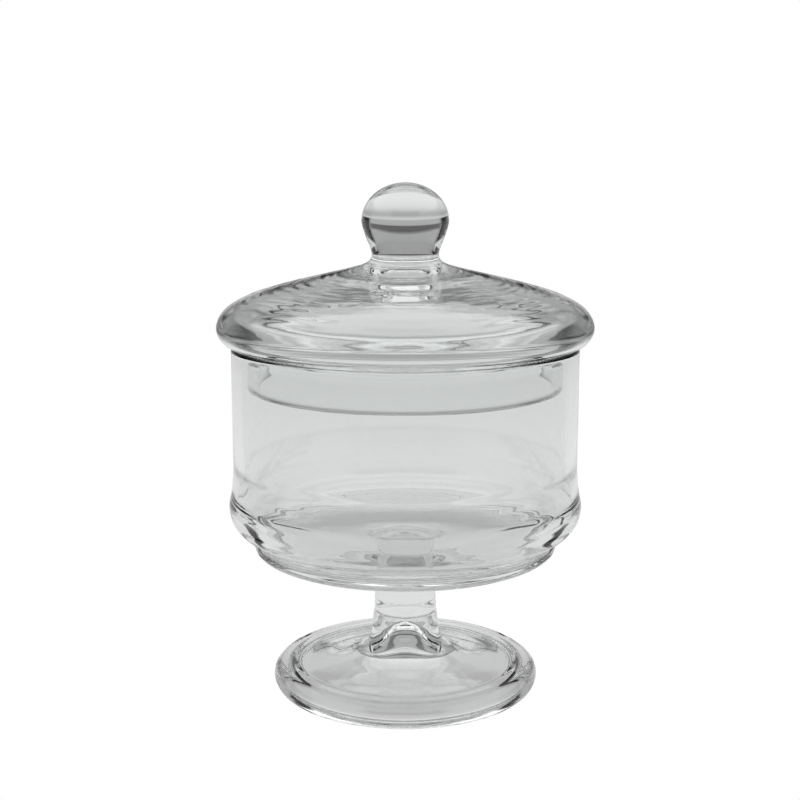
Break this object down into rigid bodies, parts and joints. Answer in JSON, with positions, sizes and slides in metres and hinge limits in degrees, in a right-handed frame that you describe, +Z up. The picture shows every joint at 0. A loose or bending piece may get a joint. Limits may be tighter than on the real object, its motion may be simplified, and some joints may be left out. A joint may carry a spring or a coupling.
{
  "type": "apothecary jar",
  "caption": "Clear glass apothecary jar on a short stem and round foot, with a lift-off domed lid, ball knob and a collar that hangs inside the mouth.",
  "frame": {"origin": "centre of the foot's rest ring, on the surface the jar stands on", "axes": "+Z up along the jar's axis, through the knob; -Y faces the viewer, +X to the viewer's right"},
  "size_m": [0.139, 0.139, 0.1912],
  "materials": {
    "foot": "clear, polished",
    "stem": "clear, polished",
    "bowl": "clear, fire-polished lip",
    "lid_flange": "clear, fire-polished edge",
    "lid_dome": "clear, slightly wavy",
    "lid_knob": "clear, polished"
  },
  "bodies": {
    "jar": {"foot": "foot", "stem": "stem", "bowl": "bowl"},
    "lid": {"lid_flange": "lid_flange", "lid_dome": "lid_dome", "lid_knob": "lid_knob"}
  },
  "joints": [
    {"name": "lid_lift", "type": "slide", "parent": "jar", "child": "lid", "axis": [0, 0, 1], "range_m": [0, 0.06]}
  ]
}
